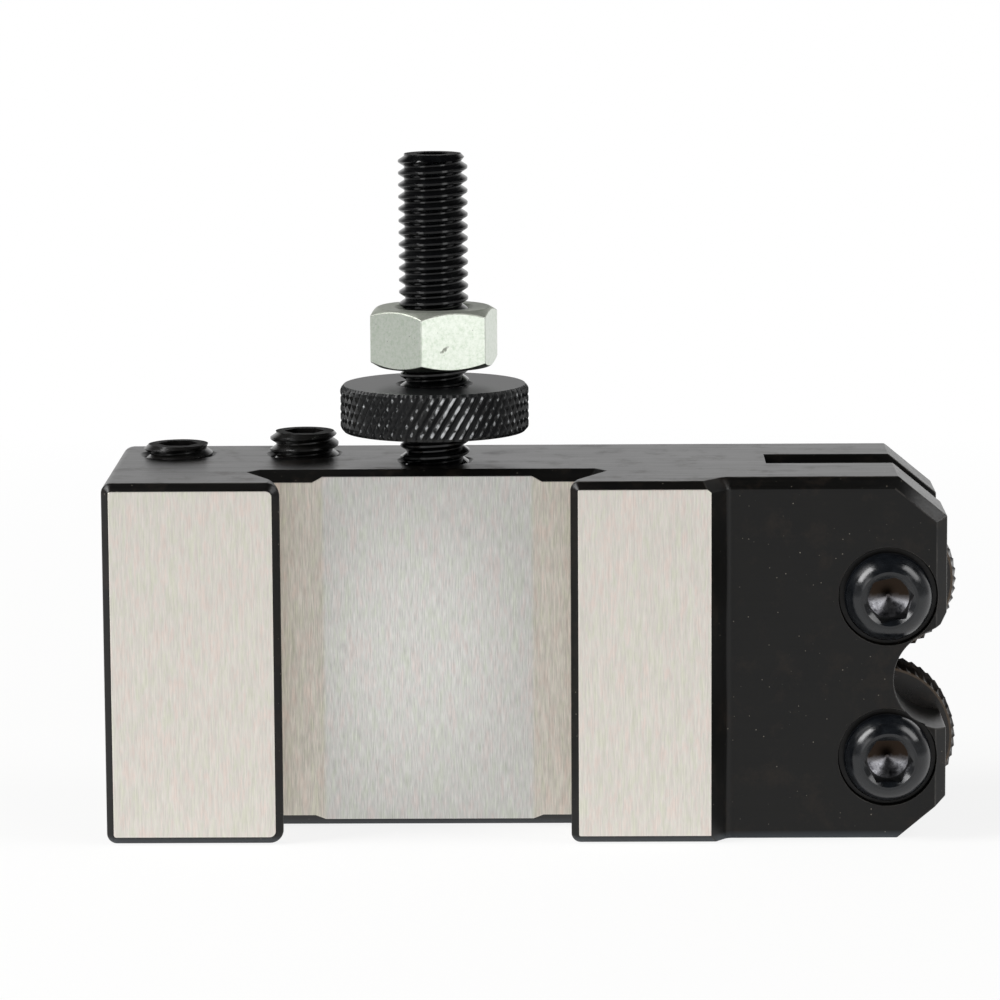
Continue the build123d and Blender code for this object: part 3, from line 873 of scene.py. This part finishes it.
class BuildClampScrews(bpy.types.Operator):
    """The two socket set screws that clamp a tool in the rear slot"""
    bl_idname = "tool_holder.build_clamp_screws"
    bl_label = "Clamping screws"

    def execute(self, context):
        settings = context.scene.holder_thread
        thread = make_dark_screw_material("black_oxide_screw_steel", ("#0b0b0b", "#161514"), 0.22)
        dull = make_dark_screw_material("dull_oxide_screw_end", ("#0b0b0b", "#161514"), 0.7, specular=0.15)
        plain_end = 2.0 * MM
        for node, body, phase in (
                ("left_clamp_screw", "left_screw", 0.5 * MM),
                ("right_clamp_screw", "right_screw", 0.2 * MM)):
            bm = screw_shell(
                settings, node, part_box(node)[0][2] + plain_end, top_edge=0.65 * MM, phase=phase,
                socket=settings.screw_socket, socket_depth=5.0 * MM, drill=1.2 * MM)
            add_piece(bm, node + "_thread", body, [thread, dull], node)
        return {"FINISHED"}


class BuildWheels(bpy.types.Operator):
    """The two knurling wheels, cut with opposite slants"""
    bl_idname = "tool_holder.build_wheels"
    bl_label = "Knurling wheels"

    def execute(self, context):
        settings = context.scene.holder_wheel
        # A tooth's flank rises this many times its depth in the width of a tooth
        flank = 2.2
        sink = 0.3 * MM
        steps = settings.teeth * 6
        for node, body, hand in (
                ("upper_knurl_wheel", "upper_wheel", 1), ("lower_knurl_wheel", "lower_wheel", -1)):
            low, high, middle, radius = span(node)
            half = (high[1] - low[1]) / 2
            hole = settings.bore / 2
            blank = radius - settings.edge
            side_in = half - settings.edge

            def teeth(angle):
                phase = (angle / FULL_TURN * settings.teeth) % 1.0
                return radius - settings.tooth_depth * min(1.0, flank * abs(phase - 0.5))

            bm = ring_shell([
                (hole, half - sink), (hole + sink, half), (blank, half), (teeth, side_in), (teeth, 0.0),
                (teeth, -side_in), (blank, -half), (hole + sink, -half), (hole, sink - half),
                (hole, half - sink)], steps)
            slant = hand * math.tan(settings.tooth_slant) / radius
            for v in bm.verts:
                v.co = Matrix.Rotation(slant * v.co.z, 3, "Z") @ v.co
            lay_on_axle(bm, middle)
            material = make_wheel_material(node + "_steel", middle, radius)
            add_piece(
                bm, node + "_teeth", body, [material], node, sharp_angle=math.radians(30))
        return {"FINISHED"}


class BuildPins(bpy.types.Operator):
    """The two button head pins that carry the wheels"""
    bl_idname = "tool_holder.build_pins"
    bl_label = "Wheel pins"

    def execute(self, context):
        settings = context.scene.holder_pin
        material = make_dark_screw_material("black_oxide_button_steel", ("#090b0e", "#13161a"), 0.21)
        size = settings.socket
        shank = settings.shank / 2
        entry = size / 2 / math.cos(math.radians(30)) + 0.2 * MM
        cone = size / 2 - 0.1 * MM
        under, chamfer = 0.3 * MM, 0.8 * MM
        # Share of the cone that its small inner ring takes, which keeps the shading of a pointed cone
        inner = 0.12

        def socket(angle):
            return hexagon_radius(angle, size)

        for node, turn in (
                ("upper_wheel_pin", settings.upper_turn), ("lower_wheel_pin", settings.lower_turn)):
            low, high, middle, radius = span(node)
            drilled = make_socket_material(node + "_socket_steel", middle)
            top = -low[1]
            end = -high[1]
            seat = top - settings.head_height
            deep = top - settings.socket_depth
            tip = deep - settings.drill

            def socket_top(angle):
                return top - (entry - socket(angle)) * 0.85

            dome = arc_points(
                (entry + 0.4 * MM, top), (radius, seat + settings.rim), settings.bulge, count=10)
            bm = ring_shell([
                (0.0, tip), (inner * size / 2, tip + inner * settings.drill), (cone, deep), (socket, deep),
                (socket, socket_top), (entry, top), *dome, (radius, seat + under), (radius - under, seat),
                (shank, seat), (shank, end + chamfer), (shank - chamfer, end), (0.0, end)], steps=96)
            for face in bm.faces:
                centre = face.calc_center_median()
                face.material_index = 1 if centre.xy.length < cone and centre.z > tip else 0
            turn_shell(bm, turn, "Z")
            lay_on_axle(bm, middle)
            add_piece(
                bm, node + "_button", "holder", [material, drilled], node,
                sharp_angle=math.radians(20))
        return {"FINISHED"}


class BuildStage(bpy.types.Operator):
    """The pale floor, the soft lamps, the surroundings and the camera"""
    bl_idname = "tool_holder.build_stage"
    bl_label = "Stage"

    def execute(self, context):
        settings = context.scene.holder_stage
        self.add_floor(settings)
        self.add_world(context)
        for name, place, size, power in (
                ("high_lamp_left", (-0.80, -0.22, 0.82), (0.46, 0.72), 12.0),
                ("high_lamp_right", (0.88, -0.18, 0.80), (0.45, 0.70), 4.6),
                ("tall_lamp_left", (-0.60, -0.72, 0.25), (0.30, 0.80), 1.7),
                ("tall_lamp_right", (0.64, -0.72, 0.25), (0.30, 0.80), 1.7)):
            self.add_lamp(name, Vector(place), size, power)
        self.add_camera(context, settings)
        context.scene.view_settings.view_transform = "Standard"
        return {"FINISHED"}

    def add_floor(self, settings):
        """A round matt floor, white to the camera and a little less so right under the holder."""
        bm = bmesh.new()
        bmesh.ops.create_circle(bm, cap_ends=True, segments=96, radius=0.62)
        mesh = bpy.data.meshes.new("floor")
        bm.to_mesh(mesh)
        bm.free()
        floor = new_object("floor", mesh)
        material, tree, place = new_material("pale_matt_floor")
        seen = add_node(tree, "LightPath")
        either = add_node(tree, "Math", {
            0: seen.outputs["Is Camera Ray"], 1: seen.outputs["Is Glossy Ray"]}, operation="MAXIMUM")
        away = add_node(tree, "VectorMath", {0: place}, operation="LENGTH")
        white_share = add_node(tree, "MapRange", {
            "Value": away, "From Min": 0.10, "From Max": 0.40, "To Min": 0.84})
        share = add_node(tree, "Math", {0: either, 1: white_share}, operation="MULTIPLY")
        paint = add_node(tree, "BsdfDiffuse", {"Color": linear(settings.floor_colour)})
        white = add_node(tree, "Emission")
        mixed = add_node(tree, "MixShader", {"Fac": share, 1: paint, 2: white})
        add_node(tree, "OutputMaterial", {"Surface": mixed})
        mesh.materials.append(material)

    def add_world(self, context):
        """The room round the holder, which the camera itself sees as white."""
        world = bpy.data.worlds.new("studio")
        world.use_nodes = True
        tree = world.node_tree
        tree.nodes.clear()
        way = add_node(tree, "TexCoord").outputs["Generated"]
        parts = add_node(tree, "SeparateXYZ", {"Vector": way})
        # The room: mid grey all round, lighter behind the camera, dark overhead
        around = add_node(tree, "MapRange", {
            "Value": parts.outputs["Y"], "From Min": -0.85, "From Max": -0.35, "To Min": 0.48,
            "To Max": 0.34}, **SMOOTH)
        room = add_node(tree, "MapRange", {
            "Value": parts.outputs["Z"], "From Min": 0.15, "From Max": 0.60, "To Min": around,
            "To Max": 0.03}, **SMOOTH)
        # The white backdrop stands low behind the holder
        low = add_node(tree, "MapRange", {
            "Value": parts.outputs["Z"], "From Min": 0.28, "From Max": 0.60, "To Min": 1.0,
            "To Max": 0.0}, **SMOOTH)
        behind = add_node(tree, "MapRange", {
            "Value": parts.outputs["Y"], "From Min": 0.2, "From Max": 0.75}, **SMOOTH)
        backdrop = add_node(tree, "Math", {0: low, 1: behind}, operation="MULTIPLY")
        seen = add_node(tree, "LightPath").outputs["Is Camera Ray"]
        white = add_node(tree, "Math", {0: backdrop, 1: seen}, operation="MAXIMUM")
        level = add_node(tree, "Mix", {0: white, 2: room, 3: 1.0}, data_type="FLOAT")
        back = add_node(tree, "Background", {"Color": (1, 1, 1, 1), "Strength": level})
        add_node(tree, "OutputWorld", {"Surface": back})
        context.scene.world = world

    def add_lamp(self, name, place, size, power):
        """A soft rectangular lamp that faces the lower part of the holder."""
        lamp = bpy.data.lights.new(name, "AREA")
        lamp.shape = "RECTANGLE"
        lamp.size, lamp.size_y = size
        lamp.energy = power
        thing = new_object(name, lamp)
        thing.location = place
        target = Vector((0, 0, 0.03))
        thing.rotation_euler = (target - place).to_track_quat("-Z", "Y").to_euler()

    def add_camera(self, context, settings):
        """The camera, standing where the photograph was taken from."""
        camera = bpy.data.cameras.new("camera")
        camera.lens = settings.lens
        camera.sensor_fit = "HORIZONTAL"
        camera.sensor_width = 36.0
        camera.clip_start = 0.01
        camera.clip_end = 50.0
        thing = new_object("camera", camera)
        thing.matrix_world = (
            Matrix.Translation(settings.eye) @ Matrix.Rotation(-settings.yaw, 4, "Z")
            @ Matrix.Rotation(math.radians(90) - settings.pitch, 4, "X")
            @ Matrix.Rotation(settings.roll, 4, "Z"))
        context.scene.camera = thing


class HolderPanel(bpy.types.Panel):
    """Lists the tool holder's pieces"""
    bl_idname = "VIEW3D_PT_tool_holder"
    bl_label = "Tool Holder"
    bl_space_type = "VIEW_3D"
    bl_region_type = "UI"
    bl_category = "Tool Holder"

    def draw(self, context):
        for operator in OPERATORS:
            self.layout.operator(operator.bl_idname)


SETTINGS = {
    "holder_block": BlockSettings,
    "holder_thread": ThreadSettings,
    "holder_thumb_nut": ThumbNutSettings,
    "holder_lock_nut": LockNutSettings,
    "holder_wheel": WheelSettings,
    "holder_pin": PinSettings,
    "holder_stage": StageSettings,
}
OPERATORS = [
    BuildBlock, BuildStud, BuildThumbNut, BuildLockNut, BuildClampScrews, BuildWheels, BuildPins,
    BuildStage]


def register():
    for name, group in SETTINGS.items():
        bpy.utils.register_class(group)
        setattr(bpy.types.Scene, name, bpy.props.PointerProperty(type=group))
    for operator in OPERATORS:
        bpy.utils.register_class(operator)
    bpy.utils.register_class(HolderPanel)


def unregister():
    bpy.utils.unregister_class(HolderPanel)
    for operator in reversed(OPERATORS):
        bpy.utils.unregister_class(operator)
    for name, group in SETTINGS.items():
        delattr(bpy.types.Scene, name)
        bpy.utils.unregister_class(group)


def main():
    """Builds every piece and the stage."""
    register()
    for operator in OPERATORS:
        group, name = operator.bl_idname.split(".")
        getattr(getattr(bpy.ops, group), name)()


if __name__ == "__main__":
    main()
